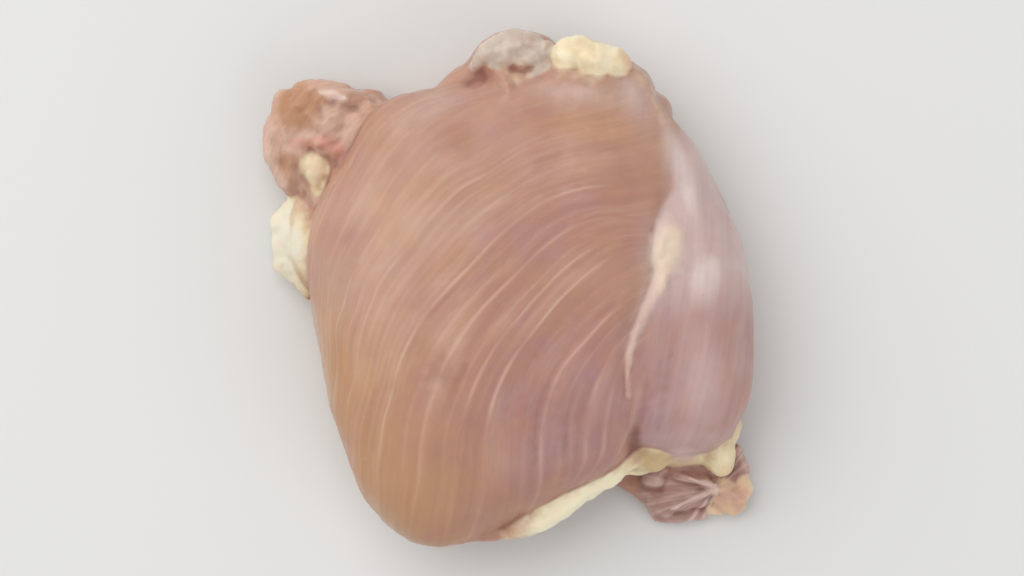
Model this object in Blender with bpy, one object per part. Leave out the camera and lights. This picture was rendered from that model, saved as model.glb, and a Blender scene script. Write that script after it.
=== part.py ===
"""A raw boneless, skinless chicken thigh, folded as for a pack and lying on its tucked-under side.

Seen from above, +X is to the right of the shown face and +Y to its top. +Z is up. The origin is at
the middle of the footprint, on the surface that the meat lies on. Sizes are in millimetres until
the last step, which scales them to metres.
"""

import math

import bmesh
import bpy
import numpy as np
from mathutils import Matrix, Vector, noise

# Driving dimensions
THICKNESS = 31.0
RIM_HEIGHT = 15.5
FOLD_DROP = 3.5
SLOPE_TO_RIGHT = 0.045
OUTER_THICKNESS = 25.5
LEFT_FLAP_THICKNESS = 16.0
RIGHT_FLAP_THICKNESS = 14.0
SEAM_DEPTH = 1.3
SEAM_HALF_WIDTH = 2.0

# How uneven the meat is: how far it swells and sinks, and over what length
SWELLS = ((0.8, 17.0), (0.3, 6.0))
LUMP_UNEVENNESS = 0.11

# How fine the shape is worked out, and how fine it is handed on
PAD_SEGMENTS = 96
PAD_RINGS = 48
VOXEL = 0.9
SMOOTH_STEPS = 10
TRIANGLES = 9400

MM_TO_M = 0.001
# The flaps are made this much too deep, and cut off flat at the floor
BELOW_FLOOR = 2.5
FLESH = (0.46, 0.26, 0.19, 1.0)

# The slab on top, as seen from above
TOP_CENTRE = (-3.0, -2.0)
TOP_OUTLINE = (
    (22.5, 36.5), (29.0, 28.5), (34.0, 19.0), (37.0, 8.0), (37.8, -4.0), (36.0, -16.0),
    (30.5, -24.5), (22.0, -28.4), (17.0, -31.6), (5.0, -38.2), (-4.0, -43.0), (-12.3, -45.8),
    (-20.2, -43.0), (-25.5, -37.0), (-29.5, -27.0), (-33.2, -14.5), (-35.3, -1.2), (-35.3, 9.4),
    (-33.2, 17.0), (-28.5, 24.3), (-22.9, 32.3), (-15.6, 35.2), (-7.0, 35.9), (0.5, 38.3),
    (8.5, 39.6), (16.5, 39.6),
)
# The narrow muscle along the right side, and the seam between it and the big one
OUTER_CENTRE = (31.0, -4.0)
OUTER_OUTLINE = (
    (27.0, 29.0), (31.0, 26.5), (34.8, 20.0), (39.4, 10.7), (42.1, 0.1), (42.6, -11.0),
    (41.4, -20.4), (37.6, -27.0), (30.5, -29.5), (24.0, -27.5), (20.5, -17.0), (20.0, -4.0),
    (22.0, 10.0), (24.5, 22.0),
)
SEAM = (
    (30.5, 27.0, 24.0), (29.0, 16.0, 27.0), (26.5, 7.0, 27.5), (24.0, 0.5, 28.0),
    (21.5, -7.0, 28.0), (20.0, -14.0, 27.5), (20.2, -20.0, 26.0), (21.5, -27.0, 21.0),
    (22.5, -31.0, 15.0),
)
# The two flaps tucked under, which meet in a crease
LEFT_FLAP_CENTRE = (-15.0, -4.0)
LEFT_FLAP_OUTLINE = (
    (3.6, 34.0), (-7.0, 36.0), (-19.0, 32.5), (-28.0, 25.0), (-33.0, 12.0), (-33.5, -2.0),
    (-31.0, -15.0), (-26.5, -28.0), (-20.0, -39.0), (-11.0, -42.0), (-1.6, -40.0), (1.4, -25.0),
    (3.4, -8.0), (2.0, 8.0), (4.4, 20.0),
)
RIGHT_FLAP_CENTRE = (20.0, -1.0)
RIGHT_FLAP_OUTLINE = (
    (5.6, 35.0), (13.0, 38.5), (22.0, 35.5), (31.0, 22.0), (37.5, 8.0), (39.0, -8.0), (37.5, -19.0),
    (32.0, -28.0), (19.0, -30.0), (10.0, -34.5), (2.2, -35.5), (2.6, -22.0), (4.6, -6.0), (3.2, 9.0),
    (5.4, 20.0),
)
# Small lumps, each with its place, its half sizes and its turn about +Z in degrees
KNOB = (
    ((-29.8, 29.0, 6.6), (9.8, 5.2, 5.6), 30.0),
    ((-34.4, 25.4, 5.0), (8.8, 5.8, 5.8), 34.0),
    ((-27.5, 23.5, 7.0), (8.0, 8.0, 6.0), 0.0),
    ((-34.0, 20.2, 5.4), (3.4, 4.8, 4.4), 12.0),
    ((-37.0, 20.6, 4.0), (4.8, 6.4, 4.4), 20.0),
)
TOP_FAT = (
    ((12.8, 37.4, 16.5), (8.6, 5.4, 7.4), -12.0),
    ((0.8, 39.6, 12.0), (8.6, 6.0, 9.0), 6.0),
    ((20.6, 35.4, 13.0), (6.0, 4.6, 8.6), -42.0),
    ((-7.0, 35.8, 9.0), (6.4, 4.2, 7.0), 12.0),
)
LOW_FAT = (
    ((27.4, -27.4, 9.0), (7.0, 3.8, 5.0), 4.0),
    ((35.2, -26.4, 7.5), (5.0, 4.4, 6.2), 34.0),
    ((-34.8, 9.0, 4.6), (4.8, 10.5, 5.2), 5.0),
)
SCRAPS = (
    ((28.6, -32.4, 2.4), (8.8, 7.6, 4.6), -28.0),
    ((35.0, -31.0, 2.4), (5.6, 6.6, 4.6), 34.0),
    ((22.0, -31.4, 2.2), (5.4, 5.0, 4.0), 10.0),
)
# The line of fat along the lower edge, with its half width at each point
RIM_FAT = (
    (24.5, -28.0, 12.0, 1.6), (19.4, -31.2, 12.0, 1.9), (13.4, -35.0, 12.0, 2.3),
    (7.4, -39.2, 12.5, 2.9), (1.8, -41.8, 13.0, 2.3), (-5.0, -43.6, 14.0, 1.2),
)


def closed_radius(points, centre, angle):
    """How far the outline lies from its centre at this angle, on a smooth curve through its points."""
    polar = sorted(
        (math.atan2(y - centre[1], x - centre[0]), math.hypot(x - centre[0], y - centre[1]))
        for x, y in points
    )
    count = len(polar)
    after = next((i for i, knot in enumerate(polar) if knot[0] > angle), count)
    knots = []
    for i in range(after - 2, after + 2):
        turns, index = divmod(i, count)
        knots.append((polar[index][0] + turns * math.tau, polar[index][1]))
    (a0, r0), (a1, r1), (a2, r2), (a3, r3) = knots
    share = (angle - a1) / (a2 - a1)
    slope_1 = (r2 - r0) / (a2 - a0) * (a2 - a1)
    slope_2 = (r3 - r1) / (a3 - a1) * (a2 - a1)
    blend = share * share * (3 - 2 * share)
    bend = slope_1 * share * (1 - share) ** 2 - slope_2 * share * share * (1 - share)
    return r1 + (r2 - r1) * blend + bend


def fold_share(angle):
    """1 on the left and lower-left side, where the slab is folded round, and 0 at its cut edges."""
    middle, half_span = math.radians(-165), math.radians(105)
    off = min(abs(math.remainder(angle - middle, math.tau)) / half_span, 1.0)
    return math.sqrt(1 - off * off)


def pad(body, points, centre, rim_height, top, bottom, powers, folded=0.0, slope=0.0):
    """A plump pad with this outline, widest at its rim's height, added to the bmesh.

    powers say how square the section is above and below the rim. folded lowers the rim and the
    underside where the slab is folded round. slope lowers the top towards the right.
    """
    made = bmesh.ops.create_uvsphere(
        body, u_segments=PAD_SEGMENTS, v_segments=PAD_RINGS, radius=1.0
    )
    for vert in made["verts"]:
        x, y, z = vert.co
        flat = math.hypot(x, y)
        angle = math.atan2(y, x)
        share = folded * fold_share(angle)
        rim = rim_height - FOLD_DROP * share
        power = powers[0] if z > 0 else powers[1]
        # A point of the unit sphere goes out along its own direction to a squarer section
        stretch = (flat**power + abs(z) ** power) ** (-1 / power)
        radius = closed_radius(points, centre, angle) * flat * stretch
        across = radius * math.cos(angle)
        lowest = bottom * (1 - share) - BELOW_FLOOR * share
        reach = top - slope * across - rim if z > 0 else rim - lowest
        vert.co = (
            centre[0] + across,
            centre[1] + radius * math.sin(angle),
            rim + reach * z * stretch,
        )


def lumps(body, table):
    """Rounded lumps, with a little unevenness in their shape."""
    for place, half_sizes, turn in table:
        turned = Matrix.LocRotScale(
            Vector(place), Matrix.Rotation(math.radians(turn), 3, "Z"), Vector(half_sizes)
        )
        made = bmesh.ops.create_icosphere(body, subdivisions=4, radius=1.0)
        for vert in made["verts"]:
            swell = 1 + LUMP_UNEVENNESS * noise.noise(vert.co * 1.3 + Vector(place))
            vert.co = turned @ (vert.co * swell)


def strip(body, points):
    """A round strip that thickens and thins along its points."""
    line = bpy.data.curves.new("strip", "CURVE")
    line.dimensions = "3D"
    line.bevel_depth = 1.0
    line.bevel_resolution = 6
    line.use_fill_caps = True
    spline = line.splines.new("NURBS")
    spline.points.add(len(points) - 1)
    for point, (x, y, z, half_width) in zip(spline.points, points):
        point.co = (x, y, z, 1.0)
        point.radius = half_width
    spline.use_endpoint_u = True
    guide = bpy.data.objects.new("strip", line)
    body.from_mesh(bpy.data.meshes.new_from_object(guide))
    bpy.data.objects.remove(guide)


def evaluated(mesh, kind, settings):
    """The mesh with one modifier of this kind applied."""
    carrier = bpy.data.objects.new("carrier", mesh)
    bpy.context.scene.collection.objects.link(carrier)
    modifier = carrier.modifiers.new(kind.title(), kind)
    for setting, value in settings.items():
        setattr(modifier, setting, value)
    graph = bpy.context.evaluated_depsgraph_get()
    result = bpy.data.meshes.new_from_object(carrier.evaluated_get(graph))
    bpy.data.objects.remove(carrier)
    return result


def distance_to_line(points, line):
    """How far each point is from a line of straight runs."""
    nearest = np.full(len(points), np.inf)
    for start, end in zip(line[:-1], line[1:]):
        run = np.subtract(end, start)
        along = np.clip((points - start) @ run / (run @ run), 0, 1)
        foot = np.array(start) + along[:, None] * run
        nearest = np.minimum(nearest, np.linalg.norm(points - foot, axis=1))
    return nearest


def sculpt(mesh):
    """Presses the seam between the two muscles in, and makes the meat swell and sink a little."""
    count = len(mesh.vertices)
    points = np.empty(count * 3)
    normals = np.empty(count * 3)
    mesh.vertices.foreach_get("co", points)
    mesh.vertices.foreach_get("normal", normals)
    points = points.reshape(-1, 3)
    away = distance_to_line(points, np.array(SEAM)) / SEAM_HALF_WIDTH
    push = -SEAM_DEPTH * np.exp(-away * away)
    for height, length in SWELLS:
        push += [height * noise.noise(Vector(point) / length) for point in points]
    points += push[:, None] * normals.reshape(-1, 3)
    mesh.vertices.foreach_set("co", points.ravel())
    mesh.update()


def flesh_material():
    """Moist raw meat."""
    material = bpy.data.materials.new("raw_meat")
    material.use_nodes = True
    shader = material.node_tree.nodes["Principled BSDF"]
    shader.inputs["Base Color"].default_value = FLESH
    shader.inputs["Roughness"].default_value = 0.35
    shader.inputs["Metallic"].default_value = 0.0
    return material


def all_lobes():
    """Every muscle, flap, lump and strip of fat as one mesh of closed bodies that overlap."""
    lobes = bmesh.new()
    low = -BELOW_FLOOR
    pad(
        lobes, TOP_OUTLINE, TOP_CENTRE, RIM_HEIGHT, THICKNESS, 7.0, (2.05, 2.3),
        folded=1.0, slope=SLOPE_TO_RIGHT,
    )
    pad(lobes, OUTER_OUTLINE, OUTER_CENTRE, 12.5, OUTER_THICKNESS, 4.5, (2.1, 2.2))
    pad(lobes, LEFT_FLAP_OUTLINE, LEFT_FLAP_CENTRE, 6.0, LEFT_FLAP_THICKNESS, low, (2.6, 3.0))
    pad(lobes, RIGHT_FLAP_OUTLINE, RIGHT_FLAP_CENTRE, 5.5, RIGHT_FLAP_THICKNESS, low, (2.6, 3.0))
    for table in (KNOB, TOP_FAT, LOW_FAT, SCRAPS):
        lumps(lobes, table)
    strip(lobes, RIM_FAT)
    mesh = bpy.data.meshes.new("lobes")
    lobes.to_mesh(mesh)
    lobes.free()
    return mesh


def drop_inner_pockets(body):
    """Fills the pockets closed in between the flaps and the slab, by keeping the outer skin only."""
    unseen = set(body.verts)
    skins = []
    while unseen:
        start = unseen.pop()
        skin, front = [start], [start]
        while front:
            near = {edge.other_vert(vert) for vert in front for edge in vert.link_edges} & unseen
            unseen -= near
            front = list(near)
            skin += front
        skins.append(skin)
    for skin in sorted(skins, key=len)[:-1]:
        bmesh.ops.delete(body, geom=skin, context="VERTS")


def cut_at_floor(mesh):
    """The mesh cut flat where it rests, with its footprint's middle at the origin, in metres."""
    body = bmesh.new()
    body.from_mesh(mesh)
    drop_inner_pockets(body)
    cut = bmesh.ops.bisect_plane(
        body,
        geom=body.verts[:] + body.edges[:] + body.faces[:],
        plane_co=(0, 0, 0),
        plane_no=(0, 0, 1),
        clear_inner=True,
    )
    rim = [item for item in cut["geom_cut"] if isinstance(item, bmesh.types.BMEdge)]
    bmesh.ops.holes_fill(body, edges=rim, sides=0)
    bmesh.ops.triangulate(body, faces=body.faces[:])
    bmesh.ops.recalc_face_normals(body, faces=body.faces[:])
    corners = np.array([vert.co for vert in body.verts])
    middle = (corners.min(axis=0) + corners.max(axis=0)) / 2
    bmesh.ops.translate(body, vec=(-middle[0], -middle[1], 0), verts=body.verts[:])
    bmesh.ops.scale(body, vec=(MM_TO_M,) * 3, verts=body.verts[:])
    result = bpy.data.meshes.new("chicken_thigh")
    body.to_mesh(result)
    body.free()
    return result


def build():
    for obj in list(bpy.data.objects):
        bpy.data.objects.remove(obj)
    skin = evaluated(all_lobes(), "REMESH", {"mode": "VOXEL", "voxel_size": VOXEL})
    skin = evaluated(skin, "SMOOTH", {"factor": 0.5, "iterations": SMOOTH_STEPS})
    sculpt(skin)
    skin.calc_loop_triangles()
    coarse = evaluated(skin, "DECIMATE", {"ratio": TRIANGLES / len(skin.loop_triangles)})
    thigh = cut_at_floor(coarse)
    thigh.shade_smooth()
    thigh.materials.append(flesh_material())
    bpy.context.scene.collection.objects.link(bpy.data.objects.new("chicken_thigh", thigh))


build()
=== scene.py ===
import math

import bmesh
import bpy
import numpy as np
from mathutils import Matrix, Vector, noise


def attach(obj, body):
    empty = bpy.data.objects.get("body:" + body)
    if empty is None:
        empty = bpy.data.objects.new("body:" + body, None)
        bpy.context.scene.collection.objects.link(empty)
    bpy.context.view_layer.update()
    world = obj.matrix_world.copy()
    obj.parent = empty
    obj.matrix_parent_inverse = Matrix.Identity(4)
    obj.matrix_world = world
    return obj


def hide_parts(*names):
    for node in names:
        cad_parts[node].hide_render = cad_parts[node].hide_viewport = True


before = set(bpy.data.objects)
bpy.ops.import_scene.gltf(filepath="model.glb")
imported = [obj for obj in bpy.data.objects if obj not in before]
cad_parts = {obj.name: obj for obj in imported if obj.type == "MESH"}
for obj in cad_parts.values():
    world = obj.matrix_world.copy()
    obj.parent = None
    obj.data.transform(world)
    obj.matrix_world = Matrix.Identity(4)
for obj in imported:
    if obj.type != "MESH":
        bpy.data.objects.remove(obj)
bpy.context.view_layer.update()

# The camera looks straight down, with the lumps of fat at the top of the picture. The lens is long,
# so that the height of the meat hardly spreads its sides. The picture shows this width, in metres,
# at this height over the floor.
PICTURE_WIDTH = 0.178
PICTURED_HEIGHT = 0.02
CAMERA_LENS = 150.0
SENSOR_WIDTH = 36.0
camera_data = bpy.data.cameras.new("camera")
camera_data.lens = CAMERA_LENS
camera_data.sensor_width = SENSOR_WIDTH
camera = bpy.data.objects.new("camera", camera_data)
camera.location = (0.0, 0.0, PICTURE_WIDTH * CAMERA_LENS / SENSOR_WIDTH + PICTURED_HEIGHT)
bpy.context.scene.collection.objects.link(camera)
bpy.context.scene.camera = camera


# The floor is a plain pale sheet, wide enough for every view, and the light is that of a photo tent:
# one big soft lamp high on the upper left, a weaker one opposite, and pale walls all round.
def srgb(red, green, blue):
    """A colour given as it shows on a screen, 0 to 255, as the shader wants it."""
    shares = (value / 255 for value in (red, green, blue))
    return (*((s / 12.92 if s <= 0.04045 else ((s + 0.055) / 1.055) ** 2.4) for s in shares), 1.0)


def put(tree, kind, inputs=(), **settings):
    """A shader node with these settings, whose inputs are given values or linked to outputs."""
    made = tree.nodes.new(kind)
    for name, value in settings.items():
        setattr(made, name, value)
    for name, value in dict(inputs).items():
        if isinstance(value, bpy.types.NodeSocket):
            tree.links.new(value, made.inputs[name])
        else:
            made.inputs[name].default_value = value
    return made


def new_material(name):
    """An empty material, its node tree and its Principled shader."""
    material = bpy.data.materials.new(name)
    material.use_nodes = True
    return material, material.node_tree, material.node_tree.nodes["Principled BSDF"]


FLOOR_SIZE = 6.0
FLOOR_HEIGHT = -0.0002
FLOOR_COLOUR = srgb(226, 226, 225)
FLOOR_ROUGHNESS = 0.75
floor_shape = bmesh.new()
bmesh.ops.create_grid(floor_shape, x_segments=1, y_segments=1, size=FLOOR_SIZE / 2)
bmesh.ops.translate(floor_shape, vec=(0, 0, FLOOR_HEIGHT), verts=floor_shape.verts[:])
floor_mesh = bpy.data.meshes.new("floor")
floor_shape.to_mesh(floor_mesh)
floor_shape.free()
floor_material, _, floor_shader = new_material("floor")
floor_shader.inputs["Base Color"].default_value = FLOOR_COLOUR
floor_shader.inputs["Roughness"].default_value = FLOOR_ROUGHNESS
floor_mesh.materials.append(floor_material)
floor = bpy.data.objects.new("floor", floor_mesh)
bpy.context.scene.collection.objects.link(floor)

# Each lamp: its name, place, size in metres, power in watts and colour
LAMPS = (
    ("key_lamp", (-0.48, 0.46, 0.74), 1.30, 8.6, (1.0, 0.99, 0.97)),
    ("fill_lamp", (0.60, -0.55, 0.50), 0.80, 2.2, (0.97, 0.985, 1.0)),
)
WALL_COLOUR = (1.0, 1.0, 1.0, 1.0)
WALL_BRIGHTNESS = 0.50
for lamp_name, place, size, watts, colour in LAMPS:
    lamp_data = bpy.data.lights.new(lamp_name, "AREA")
    lamp_data.size = size
    lamp_data.energy = watts
    lamp_data.color = colour
    lamp = bpy.data.objects.new(lamp_name, lamp_data)
    lamp.location = place
    lamp.rotation_euler = (-Vector(place)).to_track_quat("-Z", "Y").to_euler()
    bpy.context.scene.collection.objects.link(lamp)

world = bpy.data.worlds.new("photo_tent")
world.use_nodes = True
walls = world.node_tree.nodes["Background"]
walls.inputs["Color"].default_value = WALL_COLOUR
walls.inputs["Strength"].default_value = WALL_BRIGHTNESS
bpy.context.scene.world = world
bpy.context.scene.view_settings.view_transform = "Standard"


# The meat is one piece of muscle without bone or skin, folded so that its flaps meet underneath. It
# starts from the CAD solid, gets the soft tags, fat and films that were left on it, and is then
# remade as one even skin that takes the fine relief. Its sizes are in mm until the end.
MM = 0.001
MERGE_DISTANCE = 1e-6
FIRST_VOXEL = 0.6
FIRST_SETTLING = 18
VOXEL = 0.5
SETTLING = 6
SMOOTHING = 0.5
STRAND_ROUNDING = 5
LOBULE_ROUNDING = 3


def settled(mesh, voxel, steps):
    """The mesh remade as one closed skin of even faces, and smoothed a little."""
    carrier = bpy.data.objects.new("carrier", mesh)
    bpy.context.scene.collection.objects.link(carrier)
    remesh = carrier.modifiers.new("remesh", "REMESH")
    remesh.mode = "VOXEL"
    remesh.voxel_size = voxel
    smooth = carrier.modifiers.new("smooth", "SMOOTH")
    smooth.factor = SMOOTHING
    smooth.iterations = steps
    graph = bpy.context.evaluated_depsgraph_get()
    result = bpy.data.meshes.new_from_object(carrier.evaluated_get(graph))
    bpy.data.objects.remove(carrier)
    return result


def strand(body, path):
    """A soft round strand through these points, each with its own half width, closed at its ends."""
    line = bpy.data.curves.new("strand", "CURVE")
    line.dimensions = "3D"
    line.bevel_depth = 1.0
    line.bevel_resolution = STRAND_ROUNDING
    line.use_fill_caps = True
    spline = line.splines.new("NURBS")
    spline.points.add(len(path) - 1)
    for point, (x, y, z, half_width) in zip(spline.points, path):
        point.co = (x, y, z, 1.0)
        point.radius = half_width
    spline.order_u = 3
    spline.use_endpoint_u = True
    guide = bpy.data.objects.new("strand", line)
    body.from_mesh(bpy.data.meshes.new_from_object(guide))
    bpy.data.objects.remove(guide)


def lobule(body, place, half_sizes, turn):
    """A rounded lobule at this place, turned about +Z in degrees."""
    turned = Matrix.LocRotScale(
        Vector(place), Matrix.Rotation(math.radians(turn), 3, "Z"), Vector(half_sizes)
    )
    bmesh.ops.create_icosphere(body, subdivisions=LOBULE_ROUNDING, radius=1.0, matrix=turned)


# Strands are rows of x, y, z and half width. Lumps are a place, half sizes and a turn in degrees.
# The torn end: folds of flesh over each other, where the thin end was pulled off its joint
TORN_STRANDS = (
    ((-24.6, 32.6, 11.6, 1.6), (-26.8, 29.4, 12.2, 1.9), (-28.8, 26.0, 12.0, 1.9),
     (-30.4, 23.0, 11.4, 1.5)),
    ((-39.6, 25.6, 8.6, 1.5), (-36.4, 26.0, 10.9, 1.8), (-32.4, 25.2, 11.9, 1.9),
     (-29.8, 22.8, 11.2, 1.5)),
    ((-37.6, 19.4, 6.8, 1.5), (-35.2, 17.0, 7.8, 1.5), (-33.2, 15.0, 8.8, 1.3)),
    ((-35.2, 34.6, 11.0, 0.8), (-32.0, 34.3, 13.0, 1.1), (-28.6, 33.0, 13.2, 0.9)),
)
TORN_LUMPS = (
    ((-31.4, 30.6, 9.2), (8.2, 5.4, 4.4), -10.0), ((-36.0, 26.0, 7.4), (6.8, 9.2, 4.4), 20.0),
    ((-30.6, 32.6, 11.0), (6.6, 3.0, 2.6), -8.0), ((-31.8, 29.6, 11.4), (4.0, 2.8, 2.7), 35.0),
    ((-36.6, 31.4, 9.0), (3.6, 3.4, 3.0), 0.0), ((-39.8, 26.4, 7.2), (3.4, 5.4, 3.2), 24.0),
    ((-38.6, 21.4, 6.4), (3.6, 4.6, 3.0), -14.0), ((-34.4, 21.4, 7.8), (4.6, 5.0, 2.8), 0.0),
    ((-30.6, 27.2, 10.8), (3.0, 2.4, 2.4), 30.0), ((-35.2, 28.0, 9.6), (2.8, 2.2, 2.6), 0.0),
    ((-41.4, 24.8, 6.2), (2.8, 5.6, 3.0), 10.0), ((-33.0, 34.4, 8.4), (6.0, 2.6, 3.8), -6.0),
    ((-39.2, 31.6, 6.4), (3.2, 3.8, 3.8), 20.0),
)
# The scraps: thin tags left hanging below the narrow muscle, each with a sinew along its crest
SCRAP_STRANDS = (
    ((36.4, -35.2, 6.0, 1.1), (33.8, -34.3, 6.7, 0.8), (30.8, -33.4, 6.9, 0.7),
     (27.8, -33.6, 6.2, 0.6)),
    ((36.2, -35.8, 5.6, 1.0), (32.6, -37.0, 6.1, 0.7), (29.8, -38.4, 5.0, 0.6),
     (27.6, -39.5, 3.4, 0.5)),
    ((35.6, -38.6, 2.4, 1.1), (32.6, -40.4, 1.8, 1.0), (29.4, -41.4, 1.2, 0.7)),
    ((25.4, -31.6, 7.4, 1.7), (24.8, -35.4, 5.4, 1.5), (24.8, -38.8, 3.0, 1.2),
     (25.8, -41.2, 1.2, 0.8)),
    ((38.8, -28.4, 6.0, 1.7), (40.8, -31.4, 4.6, 1.6), (41.2, -34.4, 3.0, 1.3)),
)
SCRAP_LUMPS = (
    ((30.6, -35.6, 4.1), (6.8, 4.2, 2.7), 12.0), ((26.8, -37.0, 3.4), (2.6, 4.0, 2.2), 10.0),
    ((30.8, -39.8, 1.5), (5.4, 2.0, 1.8), 8.0), ((38.2, -33.6, 3.0), (3.4, 4.4, 2.8), 10.0),
)
# Fat: the band along the lower rim, the sliver on the left; then the lump on the far edge, the ragged
# fat in the notch, the nub on the torn end and the fat beside the scraps
FAT_STRANDS = (
    ((24.6, -28.8, 12.4, 1.6), (21.4, -30.4, 12.8, 1.4), (17.6, -32.6, 13.0, 1.2),
     (13.4, -35.0, 13.2, 1.8), (9.2, -37.6, 13.4, 2.6), (5.4, -39.8, 13.2, 2.8),
     (2.0, -41.4, 12.2, 2.6), (0.6, -41.8, 10.0, 2.4), (0.2, -41.0, 7.4, 2.0), (0.4, -39.4, 5.0, 1.6),
     (0.6, -37.5, 3.4, 1.2)),
    ((3.0, -41.4, 14.4, 1.8), (-1.4, -43.0, 14.2, 1.4), (-5.6, -43.6, 14.4, 0.8),
     (-9.6, -43.4, 15.2, 0.3)),
    ((-36.6, 17.2, 5.8, 1.1), (-39.8, 13.0, 4.4, 1.6), (-40.8, 7.6, 3.8, 1.5),
     (-38.9, 2.4, 3.6, 1.3), (-35.8, -2.0, 3.6, 0.7)),
    ((37.0, -28.2, 9.2, 1.8), (38.8, -26.0, 9.4, 1.3), (39.9, -24.2, 9.2, 0.9),
     (40.4, -22.6, 9.2, 0.5)),
)
FAT_LUMPS = (
    ((10.8, 41.0, 21.8), (4.0, 3.0, 2.8), 14.0), ((14.0, 40.0, 22.6), (3.6, 2.8, 2.7), -15.0),
    ((17.2, 39.6, 21.4), (3.5, 2.5, 2.6), -10.0), ((14.0, 40.3, 21.7), (6.2, 2.7, 2.6), -10.0),
    ((24.0, -29.2, 11.8), (3.8, 3.1, 2.6), -20.0), ((24.8, -27.9, 13.2), (3.4, 2.2, 2.0), -25.0),
    ((27.8, -29.5, 10.2), (4.6, 1.9, 3.0), -6.0), ((32.6, -29.3, 9.6), (4.4, 1.9, 2.8), 4.0),
    ((36.4, -29.2, 9.8), (3.1, 4.0, 3.1), 10.0),
    ((22.4, -31.4, 10.0), (2.6, 1.8, 2.2), 20.0), ((16.8, -33.4, 12.4), (3.2, 1.9, 2.1), 28.0),
    ((11.6, -36.2, 12.2), (3.4, 2.0, 2.9), 34.0), ((5.0, -39.6, 12.4), (3.8, 2.4, 3.1), 26.0),
    ((8.2, -38.0, 10.2), (2.4, 1.6, 2.2), 30.0), ((14.6, -34.4, 10.8), (2.0, 1.3, 1.7), 30.0),
    ((19.8, -31.6, 10.8), (1.9, 1.3, 1.8), 20.0), ((1.8, -41.0, 9.8), (2.2, 1.5, 2.1), 20.0),
    ((-34.8, 21.4, 10.1), (2.1, 2.5, 1.9), 15.0), ((-34.3, 19.0, 9.4), (1.3, 1.9, 1.4), 0.0),
    ((38.8, -37.0, 3.0), (3.0, 2.8, 2.9), 15.0), ((41.2, -35.4, 3.6), (1.8, 2.2, 2.0), 0.0),
    ((36.6, -38.6, 1.8), (2.0, 1.9, 1.9), 0.0), ((40.0, -39.0, 2.4), (2.0, 1.5, 2.0), 30.0),
    ((37.2, -35.4, 5.2), (1.8, 1.4, 1.4), 0.0), ((40.2, -37.4, 5.0), (1.5, 1.7, 1.3), 0.0),
    ((37.4, -37.6, 4.8), (1.5, 1.3, 1.4), 0.0), ((-38.8, 8.2, 3.6), (4.0, 7.8, 2.0), 3.0),
    ((-41.4, 11.2, 3.8), (1.9, 2.3, 1.6), 0.0), ((-40.6, 4.2, 3.2), (2.1, 1.8, 1.5), 0.0),
    ((-38.4, 15.0, 4.6), (2.3, 1.7, 1.7), 30.0), ((-38.6, 9.0, 5.2), (1.9, 3.4, 1.4), 10.0),
)
# Films: the grey tissue crumpled beside the lump of fat
FILM_STRANDS = (
    ((-6.4, 39.4, 15.8, 1.0), (-4.0, 40.8, 18.6, 1.2), (-1.2, 41.8, 20.2, 1.1), (1.8, 42.2, 20.4, 0.8)),
    ((8.2, 40.4, 20.8, 0.7), (5.8, 38.6, 20.8, 0.7), (3.4, 37.2, 20.4, 0.5)),
)
FILM_LUMPS = (
    ((-3.6, 41.8, 17.2), (2.9, 1.8, 1.8), 35.0), ((0.2, 43.2, 18.0), (3.0, 2.0, 1.9), -8.0),
    ((-1.0, 40.4, 19.4), (3.0, 1.9, 1.6), 10.0), ((3.6, 42.4, 18.4), (2.8, 2.2, 1.9), -20.0),
    ((3.0, 40.0, 20.1), (2.6, 1.7, 1.3), 5.0), ((6.0, 41.2, 19.6), (1.7, 2.2, 1.6), 20.0),
)
# Flesh that fills out the fold at the far end of the narrow muscle, before anything is laid on
FILLING_LUMPS = (((25.8, 30.6, 10.6), (2.6, 3.8, 4.4), 0.0),)
shape = bmesh.new()
shape.from_mesh(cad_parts["chicken_thigh"].data)
bmesh.ops.remove_doubles(shape, verts=shape.verts[:], dist=MERGE_DISTANCE)
bmesh.ops.scale(shape, vec=(1 / MM,) * 3, verts=shape.verts[:])
for place, half_sizes, turn in FILLING_LUMPS:
    lobule(shape, place, half_sizes, turn)
cad_copy = bpy.data.meshes.new("thigh_meat")
shape.to_mesh(cad_copy)
shape.free()
shape = bmesh.new()
shape.from_mesh(settled(cad_copy, FIRST_VOXEL, FIRST_SETTLING))
for path in TORN_STRANDS + SCRAP_STRANDS + FAT_STRANDS + FILM_STRANDS:
    strand(shape, path)
for place, half_sizes, turn in TORN_LUMPS + SCRAP_LUMPS + FAT_LUMPS + FILM_LUMPS:
    lobule(shape, place, half_sizes, turn)
joined = bpy.data.meshes.new("thigh_meat")
shape.to_mesh(joined)
shape.free()
meat_mesh = settled(joined, VOXEL, SETTLING)


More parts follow.
